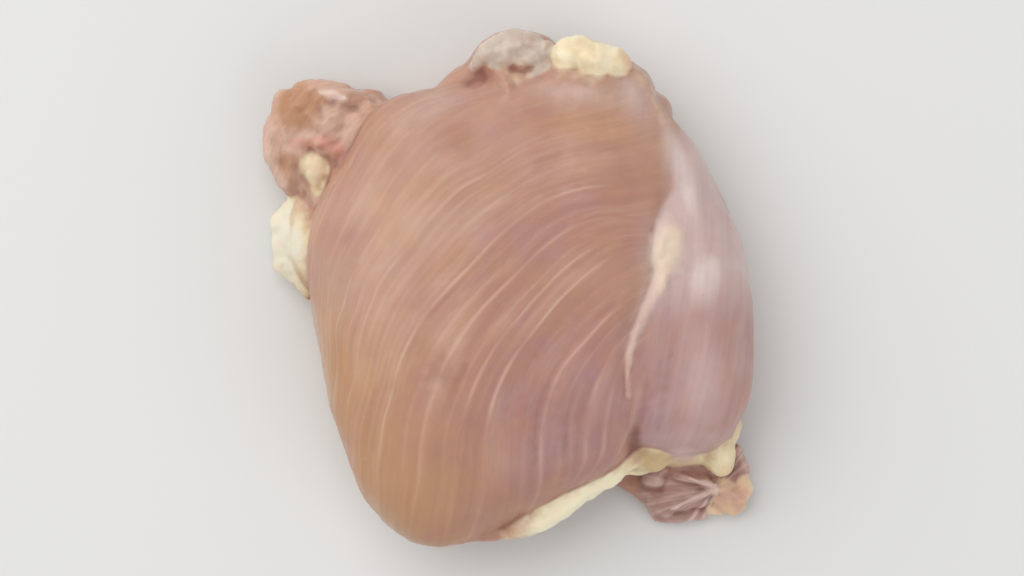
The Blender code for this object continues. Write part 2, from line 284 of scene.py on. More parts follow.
# The relief and the markings of the meat are worked out at every point of that skin. The grain of
# the big muscle runs in arcs, and a point's place across the grain, in mm, says which arc it is on.
ARCS = (
    (0.0, ((15.4, 33.8), (2.1, 31.1), (-11.5, 24.5), (-19.1, 16.5), (-23.8, 8.6), (-28.7, -3.4),
           (-30.7, -14.6))),
    (2.8, ((-6.5, 21.8), (-15.1, 15.9), (-21.1, 7.9), (-26.4, 0.6), (-29.3, -7.3))),
    (6.6, ((22.0, 29.8), (12.0, 27.1), (0.8, 23.2), (-8.5, 17.9), (-15.8, 10.6), (-21.8, 2.6),
           (-25.4, -5.4), (-26.9, -13.3))),
    (17.2, ((22.0, 18.5), (12.0, 17.2), (4.8, 14.5), (-1.9, 9.2), (-7.8, 2.9), (-15.8, -6.0),
            (-19.8, -13.3), (-22.4, -22.6), (-23.4, -31.2))),
    (23.2, ((22.0, 11.9), (14.0, 11.6), (6.7, 7.9), (1.4, 2.9), (-4.5, -2.7), (-9.2, -9.3),
            (-13.1, -17.9), (-15.1, -24.6), (-15.8, -33.2))),
    (28.5, ((19.3, 9.2), (12.7, 5.9), (6.1, 0.0), (0.8, -6.0), (-4.5, -13.3), (-7.5, -19.9),
            (-9.5, -26.6), (-10.4, -35.8))),
    (32.2, ((20.7, 6.9), (13.4, 2.6), (8.1, -2.0), (4.1, -7.3), (0.1, -12.6), (-2.5, -17.9),
            (-3.7, -22.6), (-4.2, -34.5))),
    (40.0, ((18.0, -4.0), (13.4, -8.7), (8.7, -13.3), (6.1, -19.6), (4.9, -25.2), (4.9, -31.2))),
    (47.0, ((19.7, -10.0), (18.0, -15.3), (16.4, -20.3), (15.7, -25.2), (15.7, -29.2))),
)
# Each pale line in the grain: its place across the grain and how strongly it shows
GRAIN_LINES = (
    (-6.2, 0.15), (-3.1, 0.20), (0.0, 0.60), (3.6, 0.35), (5.2, 0.15), (6.8, 0.60), (8.9, 0.25),
    (10.6, 0.15), (12.4, 0.35), (14.9, 0.15), (17.2, 1.00), (21.0, 0.35), (23.2, 1.00),
    (26.6, 0.30), (28.4, 0.85), (30.3, 0.20), (32.0, 1.00), (35.4, 0.20), (37.6, 0.25),
    (40.0, 0.85), (42.4, 0.30), (45.2, 0.60), (47.2, 0.70), (50.2, 0.45),
)
GRAIN_LINE_HALF_WIDTH = 0.42
# How far the grain may stray from the arcs to run evenly between them
GRAIN_EASING = 20.0
# The groove between the big muscle and the narrow one beside it
GROOVE = (
    (28.6, 23.2), (27.6, 17.2), (25.0, 11.9), (24.0, 6.6), (24.6, 2.3), (23.3, -3.4), (22.5, -10.0),
    (22.7, -17.9), (22.3, -23.9), (21.2, -27.2), (21.5, -34.0),
)
# Fat in the groove: a bead and the thin line below it, as x, y and half width
SEAM_FAT = (
    (27.5, 9.2, 2.5), (27.0, 7.2, 2.9), (26.4, 4.6, 2.6), (25.8, 2.6, 1.6), (25.4, 0.6, 1.4),
    (24.4, -1.4, 1.1), (22.8, -4.8, 0.95), (21.3, -8.0, 0.9), (20.3, -11.2, 0.8),
    (19.9, -14.6, 0.5), (20.0, -19.0, 0.3),
)
# Milky silverskin over the upper end of the narrow muscle
MILKY_BAND = (
    (26.2, 29.6, 1.2), (28.4, 25.0, 2.2), (29.8, 20.4, 2.8), (30.8, 15.8, 2.8), (31.6, 11.0, 2.4),
)
# The pale edge of a film from the lumps of fat down to the narrow muscle
FILM_EDGE = ((20.4, 38.6, 1.4), (22.6, 36.4, 1.3), (24.2, 33.4, 1.2), (25.6, 30.2, 1.0))
# The cleft where the groove opens at the rim
NOTCH = ((21.4, -24.0, 0.9), (21.7, -27.8, 1.8))
# On the torn end: the band of fresh flesh across it, the painted highlight along the glossy ridge of
# its film, and the pale edge of that film
TORN_BAND = ((-38.4, 25.6, 1.6), (-34.0, 25.9, 1.5), (-30.6, 24.4, 1.5), (-28.6, 21.8, 1.2))
TORN_RIDGE_HIGHLIGHT = ((-33.8, 34.5, 0.4), (-31.6, 33.9, 1.1), (-29.0, 33.0, 0.4))
TORN_EDGE = ((-42.0, 29.6, 1.0), (-43.6, 26.0, 1.2), (-42.6, 22.0, 1.2), (-40.4, 18.6, 1.0))
# The folds between its lumps
TORN_FOLDS = (
    ((-32.6, 32.6, 0.8), (-30.4, 32.3, 0.9), (-27.8, 31.6, 0.8)),
    ((-33.8, 31.4, 0.8), (-33.6, 29.6, 0.9), (-34.2, 27.6, 0.8)),
    ((-34.8, 35.0, 0.9), (-36.4, 32.8, 1.1), (-38.2, 30.4, 1.0)),
    ((-32.0, 23.2, 0.9), (-31.2, 21.6, 1.0), (-31.6, 19.6, 0.8)),
    ((-38.0, 21.2, 0.9), (-37.2, 19.0, 1.1), (-35.2, 16.8, 0.9)),
    ((-35.4, 24.3, 0.7), (-33.2, 24.2, 0.7)),
)
# The sinews that spread over the scraps, and the creases beside them
SINEWS = (
    ((36.4, -35.3, 0.7), (33.8, -34.5, 0.5), (31.2, -33.5, 0.2)),
    ((36.2, -35.7, 0.7), (32.4, -37.2, 0.5), (28.0, -39.3, 0.2)),
)
SCRAP_CREASES = (
    ((34.2, -35.6, 0.5), (31.4, -34.9, 0.6), (28.6, -33.8, 0.8)),
    ((35.2, -36.8, 0.7), (32.4, -38.5, 0.8), (29.2, -40.2, 0.8)),
)
# Where the sinews spread from, and the radius at which the places across their fan are in mm
FAN_MIDDLE = np.array((36.4, -35.4))
FAN_RADIUS = 9.0
# Fat left in the seam where the flaps meet underneath
FLAP_SEAM = (
    (0.8, -36.0, 2.4), (2.6, -18.0, 1.8), (3.4, 0.0, 2.8), (3.8, 18.0, 1.8), (4.6, 32.0, 2.4),
)
# On the far edge: two clefts under the film, and low folds of film that run on to the flesh
FAR_CLEFTS = (((-7.4, 36.0, 1.5), (-5.6, 37.0, 1.3)), ((0.2, 38.2, 0.8), (3.0, 38.0, 0.8)))
FAR_RIDGES = (
    ((-3.6, 38.4, 0.7), (-1.6, 36.6, 0.8), (-0.6, 34.6, 0.6)),
    ((20.6, 38.4, 0.9), (22.8, 35.8, 0.9), (24.6, 32.2, 0.8), (26.6, 28.8, 0.7)),
)
# How mauve above tan, and how pale, the flesh, the torn end and the fat are in places: the middle,
# half sizes and turn of a soft patch, and what it adds
FLESH_TONE = (
    ((10.0, -22.0), (14.0, 14.0), 0.0, 0.44), ((-20.0, -36.0), (12.0, 11.0), 0.0, -0.50),
    ((-31.5, -10.0), (4.5, 15.0), 0.0, -0.34), ((-18.0, 14.0), (10.0, 10.0), 0.0, -0.20),
    ((15.0, 28.0), (8.0, 4.0), 0.0, -0.20), ((8.0, 10.0), (13.0, 10.0), 0.0, 0.15),
    ((18.0, -10.0), (3.6, 8.0), 0.0, 0.12), ((-26.0, -17.0), (8.0, 12.0), 0.0, -0.26),
)
FLESH_LIGHTNESS = (
    ((-24.0, -5.0), (6.5, 13.0), 0.0, 0.16), ((14.0, 22.0), (12.0, 8.0), 0.0, 0.16),
    ((5.0, -17.0), (18.0, 14.0), 0.0, -0.36), ((-14.0, -34.0), (18.0, 12.0), 0.0, -0.22),
    ((-10.0, 24.0), (16.0, 8.0), 0.0, -0.32), ((-26.0, -17.0), (8.0, 12.0), 0.0, 0.08),
    ((-12.6, -13.0), (5.0, 9.0), -30.0, -0.45),
)
TORN_TONE = (
    ((-25.4, 31.0), (2.4, 3.4), -30.0, -0.25), ((-37.8, 32.0), (3.6, 4.6), 0.0, -0.78),
    ((-40.4, 23.0), (2.6, 4.6), 0.0, -0.25),
)
# In the torn end's lightness, the dark patches beside the nub and at the far corner are painted shade
TORN_LIGHTNESS = (
    ((-31.6, 29.4), (2.6, 2.8), 0.0, 0.26), ((-37.4, 18.4), (1.6, 2.0), 0.0, -0.50),
    ((-37.8, 32.0), (3.4, 4.4), 0.0, -0.60),
)
FAT_TONE = (
    ((38.8, -37.4), (5.0, 4.6), 0.0, 0.85), ((30.6, -29.6), (3.6, 2.6), 0.0, 0.45),
    ((40.6, -23.4), (2.4, 3.4), 0.0, 0.50), ((-34.6, 20.6), (3.0, 4.0), 0.0, 0.44),
    ((20.6, 39.0), (1.6, 2.4), 0.0, 0.60), ((-40.0, 8.0), (4.0, 10.0), 0.0, -1.10),
)
# In the fat's lightness, the dark strip at 30, -31.4 is painted shade in the arch over the scraps
FAT_LIGHTNESS = (
    ((36.4, -29.2), (3.0, 3.4), 0.0, -0.05), ((7.0, -39.6), (13.0, 4.6), 30.0, 0.75),
    ((-34.6, 20.6), (3.0, 4.0), 0.0, 0.16), ((11.0, 41.4), (4.0, 3.0), 0.0, 0.12),
    ((24.0, -29.8), (3.8, 3.0), 0.0, -0.50), ((34.6, -29.6), (1.0, 1.0), 0.0, -0.20),
    ((17.4, 39.8), (3.0, 3.0), 0.0, 0.12), ((30.0, -31.4), (5.0, 1.4), 0.0, -0.50),
    ((-39.0, 8.0), (3.0, 9.0), 0.0, 0.05),
)
# Where the pale grain lines show less, in the same kind of rows
LINES_FAINTER = (
    ((-30.0, -24.0), (9.0, 16.0), 12.0, 0.50), ((9.0, -25.0), (8.0, 8.0), 0.0, 0.35),
    ((-15.6, -25.0), (3.6, 9.0), 0.0, 0.65),
)
# Silverskin: on the narrow muscle and in the milky spot on it, which is partly a painted sheen, on the
# big muscle and down its left side, and on the flaps underneath
NARROW_SILVERSKIN = (
    ((32.6, -16.0), (5.2, 17.0), 0.0, 0.38), ((31.0, -26.0), (8.0, 3.6), 0.0, 0.34),
    ((37.8, 10.0), (3.4, 9.0), 12.0, 0.62), ((39.4, -8.0), (2.6, 14.0), 0.0, 0.28),
)
MILKY_SPOT_AND_SHEEN = (((33.3, 2.4), (4.2, 6.2), -8.0, 0.96), ((34.4, 2.8), (2.0, 3.6), -14.0, 0.20))
BIG_SILVERSKIN = (
    ((-13.0, 17.0), (17.0, 13.0), 30.0, 0.05), ((-30.0, 2.0), (5.0, 8.0), 0.0, 0.17),
    ((12.0, 33.5), (10.0, 2.4), -6.0, 0.30), ((21.4, 33.0), (3.2, 5.0), 32.0, 0.48),
    ((-15.0, 30.5), (8.0, 3.0), 25.0, 0.24),
)
SIDE_SILVERSKIN = (((-27.0, 16.0), (4.0, 9.0), -30.0, 0.12),)
FLAP_SILVERSKIN = (
    ((-22.0, -20.0), (7.0, 15.0), 12.0, 0.50), ((21.0, 10.0), (7.0, 17.0), -8.0, 0.45),
)
# The bead of fat in the groove, and the tips where fat ends thinly
BEAD = (((27.0, 5.4), (4.0, 5.4), 0.0, 1.0),)
FAT_TIPS = (((41.4, -21.2), (1.8, 2.6), 0.0, 1.0), ((-35.2, -2.8), (2.0, 2.2), 0.0, 1.0))
# Painted shade: beside the scraps where there is no fat, under the rim, along the groove, on a patch of
# the big muscle left of its middle, and on its lower part
SCRAP_GAP_SHADE = (((24.6, -35.4), (0.9, 1.7), 0.0, 0.50), ((21.2, -34.2), (2.2, 2.0), 0.0, 0.60))
RIM_SHADE = (((26.0, -35.8), (2.0, 1.7), 0.0, 0.70), ((22.2, -30.2), (2.0, 1.6), 0.0, 0.50))
SHADES = (((24.4, -19.0), (2.4, 7.5), 0.0, 0.50), ((-11.4, -15.0), (4.6, 6.5), -30.0, 0.42))
LOW_SHADES = (((9.0, -23.0), (11.0, 12.0), 0.0, 0.34),)
# The sides are laid out round this middle, from this height down and by this share of their depth
MIDDLE = np.array((-2.0, -2.0))
WALL_TOP = 22.0
WALL_SHARE = 0.8
# The height of the crease over the flaps, and how far it wanders up and down
CREASE_HEIGHT = 8.6
CREASE_WANDER = 2.0
# How far a strand or lump still shows beside itself
LOOSE_REACH = 1.2
FAT_REACH = 1.3
# How high, deep and wide the larger marks are, and how much all folds are drawn in
LINE_RIDGE_HEIGHT = 0.05
LINE_RIDGE_HALF_WIDTH = 0.6
CREASE_DEPTH = 0.55
CREASE_HALF_WIDTH = 0.9
GROOVE_DEPTH = 0.3
BEAD_GROOVE_DEPTH = 0.5
GROOVE_HALF_WIDTH = 1.2
SEAM_FAT_HEIGHT = 0.8
FAR_RIDGE_HEIGHT = 0.55
NOTCH_DEPTH = 0.45
CLEFT_DEPTH = 0.4
TORN_FOLD_DEPTH = 0.34
SCRAP_CREASE_DEPTH = 0.2
SINEW_HEIGHT = 0.16
DRAWN_IN = 0.5
# Folds are found by how much lower the skin is than a rounded copy of it. A depth of this much
# counts in full, after so many rounds of rounding for the relief and for the painted shade.
FOLD_DEPTH = 0.3
RELIEF_ROUNDS = 8
COLOUR_ROUNDS = 10
ROUNDING_SHARE = 0.6
TINY = 1e-6


def smooth_field(places, values, points):
    """The smoothest field that has these values at these places, read at the points."""
    def swell(gap):
        return gap * gap * np.log(np.maximum(gap, TINY))

    count = len(places)
    flat = np.column_stack([np.ones(count), places])
    gaps = np.linalg.norm(places[:, None] - places[None], axis=2)
    system = np.block(
        [[swell(gaps) + GRAIN_EASING * np.eye(count), flat], [flat.T, np.zeros((3, 3))]]
    )
    weights = np.linalg.solve(system, np.concatenate([values, np.zeros(3)]))
    reach = np.linalg.norm(points[:, None] - places[None], axis=2)
    return swell(reach) @ weights[:count] + weights[count] + points @ weights[count + 1 :]


def beside_line(points, line):
    """How far each point is from a line, and its side: above 0 on the left of the line's course."""
    nearest = np.full(len(points), np.inf)
    side = np.zeros(len(points))
    for start, end in zip(np.array(line[:-1]), np.array(line[1:])):
        run = end - start
        along = np.clip((points - start) @ run / (run @ run), 0, 1)
        off = points - start - along[:, None] * run
        gap = np.linalg.norm(off, axis=1)
        turn = off[:, 0] * run[1] - off[:, 1] * run[0]
        side = np.where(gap < nearest, np.sign(turn), side)
        nearest = np.minimum(nearest, gap)
    return nearest, -side


def band(points, path):
    """1 along a line of (x, y, half width) and 0 well beside it, seen from above."""
    share = np.zeros(len(points))
    for start, end in zip(np.array(path[:-1]), np.array(path[1:])):
        run = (end - start)[:2]
        along = np.clip((points[:, :2] - start[:2]) @ run / (run @ run), 0, 1)
        off = points[:, :2] - start[:2] - along[:, None] * run
        half_width = start[2] + along * (end[2] - start[2])
        share = np.maximum(share, np.exp(-(off**2).sum(axis=1) / half_width**2))
    return share


def bands(points, paths):
    """The strongest of the bands along several lines."""
    return np.max([band(points, path) for path in paths], axis=0)


def widened(path, added, shift=0.0):
    """The same line with its half width wider by this much, moved this far to the right."""
    return [(x + shift, y, half_width + added) for x, y, half_width in path]


def cover(points, strands, lumps, reach):
    """1 on these strands and lumps, falling to 0 this far off them."""
    gap = np.full(len(points), np.inf)
    for path in strands:
        for start, end in zip(np.array(path[:-1]), np.array(path[1:])):
            run = (end - start)[:3]
            along = np.clip((points - start[:3]) @ run / (run @ run), 0, 1)
            off = points - start[:3] - along[:, None] * run
            half_width = start[3] + along * (end[3] - start[3])
            gap = np.minimum(gap, np.linalg.norm(off, axis=1) - half_width)
    for place, half_sizes, turn in lumps:
        turned = np.array(Matrix.Rotation(math.radians(turn), 3, "Z"))
        local = (points - np.array(place)) @ turned / np.array(half_sizes)
        gap = np.minimum(gap, (np.linalg.norm(local, axis=1) - 1) * min(half_sizes))
    return 1 - ramp(gap, 0.0, reach)


def ramp(values, low, high):
    """0 up to low, 1 from high on, and a soft rise between."""
    share = np.clip((values - low) / (high - low), 0, 1)
    return share * share * (3 - 2 * share)


def patch(points, centre, half_sizes, turn=0.0):
    """1 in the middle of a soft round patch and 0 well outside it, seen from above."""
    turned = np.radians(turn)
    x, y = (points[:, :2] - np.array(centre)).T
    along = (x * np.cos(turned) + y * np.sin(turned)) / half_sizes[0]
    across = (-x * np.sin(turned) + y * np.cos(turned)) / half_sizes[1]
    return np.exp(-(along**2 + across**2))


def patched(points, value, rows):
    """This value, with what the soft patches in these rows add to it."""
    for centre, half_sizes, turn, added in rows:
        value = value + added * patch(points, centre, half_sizes, turn)
    return value


def strongest(points, rows):
    """The strongest of the soft patches in these rows."""
    return np.max([patched(points, 0.0, [row]) for row in rows], axis=0)


def noise_over(points, length, seed):
    """Seeded noise between about -1 and 1 whose swells are about this long."""
    shift = Vector((seed * 13.7, seed * 7.3, seed * 3.1))
    return np.array([noise.noise(Vector(point) / length + shift) for point in points])


def grain_noise(across, width, along, seed):
    """Seeded noise whose swells are this wide across the grain, and long along it."""
    return noise_over(np.column_stack([across / width, along]), 1.0, seed)


def read(mesh, what):
    """The points or the normals of a mesh as rows."""
    rows = np.empty(len(mesh.vertices) * 3)
    mesh.vertices.foreach_get(what, rows)
    return rows.reshape(-1, 3)


def hollows(mesh, rounds):
    """1 in folds and creases, 0 on open places and -1 on crests."""
    points, normals = read(mesh, "co"), read(mesh, "normal")
    ends = np.empty(len(mesh.edges) * 2, np.int64)
    mesh.edges.foreach_get("vertices", ends)
    first, second = ends.reshape(-1, 2).T
    count = np.bincount(ends, minlength=len(points))
    rounded = points.copy()
    for _ in range(rounds):
        sums = [
            np.bincount(first, rounded[second, axis], len(points))
            + np.bincount(second, rounded[first, axis], len(points))
            for axis in range(3)
        ]
        moved = np.column_stack(sums) / count[:, None]
        rounded = (1 - ROUNDING_SHARE) * rounded + ROUNDING_SHARE * moved
    return np.clip(((rounded - points) * normals).sum(axis=1) / FOLD_DEPTH, -1, 1)


def give(mesh, name, values):
    """Stores one number for each point of the mesh, for its material to read."""
    made = mesh.attributes.new(name, "FLOAT", "POINT")
    made.data.foreach_set("value", np.asarray(values, np.float32))


points, normals = read(meat_mesh, "co"), read(meat_mesh, "normal")
# x, y, z and plan are views of the points, so they follow when the points are pushed out or in
x, y, z = points.T
plan = points[:, :2]
facing_up = normals[:, 2]
outward = plan - MIDDLE
outward /= np.maximum(np.linalg.norm(outward, axis=1), TINY)[:, None]
# The skin is laid out flat round the shown face, so that the grain runs on down the sides
laid_out = plan + outward * WALL_SHARE * np.maximum(WALL_TOP - z, 0)[:, None]
arc_places = np.array([place for _, arc in ARCS for place in arc])
arc_values = np.array([value for value, arc in ARCS for _ in arc])
across_main = smooth_field(arc_places, arc_values, laid_out)
gap_to_groove, side = beside_line(plan, GROOVE)
# The flesh above the crease over the flaps, which wanders up and down
wander = CREASE_WANDER * noise_over(points * (1.0, 1.0, 0.3), 11.0, 16)
above_crease = z - CREASE_HEIGHT - wander
high = ramp(above_crease, -0.7, 0.7)
# The narrow muscle lies right of the groove, whose edge is sharp in its middle and soft at its ends
groove_softness = 0.4 + 2.4 * ramp(np.abs(y - 6.0), 6.0, 17.0)
outer = ramp(gap_to_groove * side / groove_softness, -1.0, 1.0) * high
outer *= 1 - ramp(y, 23.0, 33.0)
# The flaps show below the crease, on the right and the far side, and underneath
open_side = ramp(x + 0.4 * y, -4, 0)
flap = np.maximum((1 - high) * open_side, ramp(-facing_up, 0.1, 0.8))
across_outer = x - 0.15 * y - 0.3 * z
across_flap = 0.5 * x - 1.4 * z + 0.15 * y
across_torn = 0.6 * x - 0.7 * y + 0.9 * z + 1.6 * noise_over(points, 7.0, 19)
from_fan = plan - FAN_MIDDLE
fan_radius = np.linalg.norm(from_fan, axis=1)
across_fan = FAN_RADIUS * np.arctan2(from_fan[:, 1], -from_fan[:, 0])

# Where each kind of tissue is, from 0 to 1
torn = cover(points, TORN_STRANDS, TORN_LUMPS, LOOSE_REACH)
scraps = cover(points, SCRAP_STRANDS, SCRAP_LUMPS, LOOSE_REACH)
trimmings = cover(points, FAT_STRANDS, FAT_LUMPS, FAT_REACH)
films = cover(points, FILM_STRANDS, FILM_LUMPS, LOOSE_REACH)
firm = 1 - np.max([torn, scraps, trimmings, films], axis=0)
far_edge = ramp(y, 30.0, 36.0)
below = 1 - ramp(facing_up, 0.0, 0.5)
underneath = ramp(-facing_up, 0.0, 0.4)
seam = band(points, SEAM_FAT) * high * (0.62 + 0.38 * ramp(y, -10.0, 2.0))
cleft = bands(points, FAR_CLEFTS) * high
notch = band(points, NOTCH) * high * ramp(-y, 22.0, 28.0)
torn_folds = bands(points, TORN_FOLDS) * torn
sinews = bands(points, SINEWS) * scraps
scrap_creases = bands(points, SCRAP_CREASES) * scraps
beside_seam = (1 - ramp(gap_to_groove, 1.5, 7.0)) * ramp(y, -8.0, 2.0)
far_top = ramp(y, 19.0, 26.0) * ramp(x, -14.0, -3.0)
lined = (1 - outer) * (1 - flap) * firm * (1 - 0.8 * beside_seam) * (1 - 0.7 * far_top)
lined *= 1 - 0.65 * ramp(-y, 28.0, 36.0)
for row in LINES_FAINTER:
    lined *= 1 - patched(points, 0.0, [row])

# The relief along the grain of the big muscle, and of the narrow one
push = 0.15 * grain_noise(across_main, 2.4, plan * 0.03, 1)
push += 0.05 * grain_noise(across_main, 0.9, plan * 0.05, 2)
for place, strength in GRAIN_LINES:
    ridge = np.exp(-(((across_main - place) / LINE_RIDGE_HALF_WIDTH) ** 2))
    push += LINE_RIDGE_HEIGHT * strength * ridge * ramp(facing_up, -0.2, 0.3)
push *= (1 - outer) * (1 - flap)
push += 0.12 * outer * grain_noise(across_outer, 1.6, points[:, 1:] * 0.06, 3)
push *= firm
# Lumps on what hangs loose, and unevenness elsewhere: where, how high, how long and the seed
for share, lump_height, length, seed in (
    (np.maximum(torn, scraps), 0.35, 3.2, 4), (np.maximum(torn, scraps), 0.20, 1.5, 5),
    (trimmings, 0.34, 2.8, 6), (trimmings, 0.17, 1.3, 11), (films, 0.30, 2.2, 12),
    (films, 0.22, 1.1, 13), (far_edge, 0.22, 2.2, 7), (1.0, 0.05, 1.7, 9),
):
    push += share * lump_height * noise_over(points, length, seed)
push += 0.22 * torn * grain_noise(across_torn, 1.3, points[:, 1:] * 0.08, 20)
fan_places = np.column_stack([fan_radius * 0.12, z * 0.1])
push += 0.40 * scraps * grain_noise(across_fan, 1.7, fan_places, 18)
push += 0.3 * flap * noise_over(points * (0.35, 0.35, 1.0), 2.2, 8)
side_swells = noise_over(points * (1.0, 1.0, 0.7), 7.0, 14)
push += 0.35 * below * firm * side_swells
# The crease over the flaps, the groove, the fat in it, and the marks whose lines stand above
crease = np.exp(-((above_crease / CREASE_HALF_WIDTH) ** 2)) * open_side
push -= CREASE_DEPTH * crease * (1 - ramp(np.abs(facing_up), 0.5, 0.9)) * firm
groove_depth = GROOVE_DEPTH + BEAD_GROOVE_DEPTH * patch(points, (24.4, 6.0), (3.0, 6.5))
push -= groove_depth * np.exp(-((gap_to_groove / GROOVE_HALF_WIDTH) ** 2)) * high
push += ramp(seam, 0.0, 0.9) * (SEAM_FAT_HEIGHT + 0.3 * noise_over(points, 1.8, 10))
push += FAR_RIDGE_HEIGHT * bands(points, FAR_RIDGES) * high
push -= NOTCH_DEPTH * notch + CLEFT_DEPTH * cleft
push -= TORN_FOLD_DEPTH * torn_folds + SCRAP_CREASE_DEPTH * scrap_creases
push += SINEW_HEIGHT * sinews
push -= DRAWN_IN * firm * np.maximum(hollows(meat_mesh, RELIEF_ROUNDS), 0)
points += push[:, None] * normals
points[:, 2] = np.maximum(z, 0.0)
meat_mesh.vertices.foreach_set("co", points.ravel())
meat_mesh.update()

# Fat and film lie above the crease over the flaps, and a thin film over parts of the sides
crease_line = np.exp(-(((above_crease - 0.9) / 1.2) ** 2)) * open_side
side_film = below * (1 - torn) * ramp(side_swells, -0.3, 0.8) * ramp(facing_up, -0.8, -0.2)
# A film bridges the fat on the rim of the narrow muscle, no fat lies on the middle of the scraps,
# and the grey film is thinner in its clefts, so that their painted shade shows
bridge = patch(points, (30.2, -29.4), (3.2, 2.2))
on_scraps = ramp(-y, 31.2, 32.4) * ramp(x, 25.0, 26.6) * (1 - ramp(x, 33.6, 35.0)) * scraps
trimmings *= 1 - on_scraps
films *= 1 - 0.5 * cleft
# Fat runs on from the left sliver up to the foot of the big muscle
ledge = patch(points, (-38.0, 8.4), (3.2, 8.0)) * ramp(13.5 - z, 0.0, 3.0) * (1 - torn)
trimmings = np.maximum(trimmings, ledge)
# The thin ends of the fat fade out raggedly
rim_end = ramp(-x, -8.0, 5.0) * ramp(-y, 38.0, 40.0)
trimmings *= 1 - 0.75 * np.maximum(rim_end, strongest(points, FAT_TIPS))
fat = np.max([
    trimmings * (1 - 0.5 * bridge) * (1 - 0.3 * patch(points, (38.8, -37.4), (5.0, 4.6))),
    0.8 * band(points, FLAP_SEAM) * underneath * ramp(noise_over(points, 8.0, 17), -0.1, 0.3),
    0.55 * patch(points, (2.0, 38.4), (8.0, 3.2), -4) * high * (1 - cleft),
    0.40 * patch(points, (13.0, 37.0), (9.0, 3.0), -8) * high,
    0.42 * band(points, FILM_EDGE) * ramp(facing_up, 0.0, 0.5),
    0.35 * patch(points, (10.0, -36.0), (16.0, 2.6), 32) * ramp(19.0 - z, 0, 3),
    0.62 * crease_line * ramp(noise_over(points, 6.0, 15), -0.1, 0.5),
], axis=0)
milky_band = band(points, MILKY_BAND) * ramp(facing_up, 0.0, 0.5)
milky_band *= (1 - 0.6 * ramp(y, 23.0, 29.0)) * (0.45 + 0.55 * ramp(y, 9.0, 16.0))
silverskin = np.max([
    outer * (0.14 + 0.48 * ramp(y, -9.0, 5.0)) * ramp(z, 9.0, 15.0),
    outer * strongest(points, NARROW_SILVERSKIN),
    outer * patched(points, 0.0, MILKY_SPOT_AND_SHEEN),
    0.92 * milky_band,
    0.7 * band(points, widened(SEAM_FAT, 0.9)) * high * ramp(y, -14.0, 2.0),
    high * strongest(points, BIG_SILVERSKIN), strongest(points, SIDE_SILVERSKIN),
    underneath * strongest(points, FLAP_SILVERSKIN),
    0.26 * side_film, 0.40 * crease_line, 0.6 * bridge,
], axis=0)
tone = patched(points, 0.42 + 0.34 * outer, FLESH_TONE)
lightness = patched(points, 0.46, FLESH_LIGHTNESS)
# The torn end is orange-brown and darkened by painted shade at its far corner, fresher in a band across
# it, with a painted highlight along its glossy ridge and a pale film edge
torn_tone = patched(points, 0.45 + 0.55 * band(points, TORN_BAND), TORN_TONE)
torn_lightness = patched(points, 0.42 + 0.85 * band(points, TORN_RIDGE_HIGHLIGHT), TORN_LIGHTNESS)
torn_lightness += 0.3 * band(points, TORN_EDGE)
tone += torn * (torn_tone - tone)
lightness += torn * (torn_lightness - lightness)
# The fat is duller and yellower in the notch, peach beside the scraps, whitest on the big lumps, and
# darkened by painted shade over the scraps
tone += trimmings * (patched(points, 0.3, FAT_TONE) - tone)
lightness += trimmings * (patched(points, 0.5, FAT_LIGHTNESS) - lightness)
# Painted shade darkens the meat in folds and creases, but not in the groove beside the fat in it; below
# 0 it marks crests, which get a painted highlight on the torn end, the scraps and the film
shade_and_crest_light = hollows(meat_mesh, COLOUR_ROUNDS)
shade_and_crest_light *= 1 - 0.8 * band(points, widened(SEAM_FAT, 1.4, 0.6))
shade_and_crest_light += patched(points, 0.0, SCRAP_GAP_SHADE) * (1 - trimmings) + patched(points, 0.0, RIM_SHADE)
shade_and_crest_light += patched(points, 0.0, SHADES) * high
shade_and_crest_light += patched(points, 0.0, LOW_SHADES) * (1 - outer) * high
# Painted shade in the notch, the clefts, the folds of the torn end and the creases of the scraps, and
# less on the sinews
shade_and_crest_light += 0.38 * notch + 0.42 * cleft + 0.3 * torn_folds + 0.25 * scrap_creases - 0.2 * sinews
for attribute_name, values in (
    ("across_main", across_main), ("across_outer", across_outer), ("across_flap", across_flap),
    ("across_fan", across_fan), ("across_torn", across_torn), ("outer", outer), ("flap", flap),
    ("fat", fat), ("seam", seam), ("film", films), ("scraps", scraps), ("sinews", sinews),
    ("silverskin", silverskin), ("tone", tone), ("lightness", lightness), ("torn", torn),
    ("lined", lined), ("bead", strongest(points, BEAD)), ("shade_and_crest_light", shade_and_crest_light),
):
    give(meat_mesh, attribute_name, values)
meat_mesh.transform(Matrix.Diagonal((MM, MM, MM, 1)))
meat_mesh.shade_smooth()
thigh_meat = bpy.data.objects.new("thigh_meat", meat_mesh)
bpy.context.scene.collection.objects.link(thigh_meat)


# Raw flesh: moist, a little translucent, tan to rose, with fine fibres along the grain, pale lines
# of tissue between the bundles, a bluish silverskin over the narrow muscle and cream fat in places.
def group_nodes(name, inputs, outputs):
    """A new shader node group with these sockets, its input node and its output node."""
    group = bpy.data.node_groups.new(name, "ShaderNodeTree")
    for socket, kind in inputs:
        group.interface.new_socket(socket, in_out="INPUT", socket_type=kind)
    for socket, kind in outputs:
        group.interface.new_socket(socket, in_out="OUTPUT", socket_type=kind)
    return group, group.nodes.new("NodeGroupInput"), group.nodes.new("NodeGroupOutput")


def maths(tree, operation, first, second, clamped=False):
    """The output of one Math node."""
    settings = {"operation": operation, "use_clamp": clamped}
    return put(tree, "ShaderNodeMath", {0: first, 1: second}, **settings).outputs[0]


def spread(tree, value, low=0.0, high=1.0, to_low=0.0, to_high=1.0):
    """A value spread from low and high to two others, and held at them outside."""
    return put(tree, "ShaderNodeMapRange", {
        "Value": value, "From Min": low, "From Max": high, "To Min": to_low, "To Max": to_high,
    }).outputs["Result"]


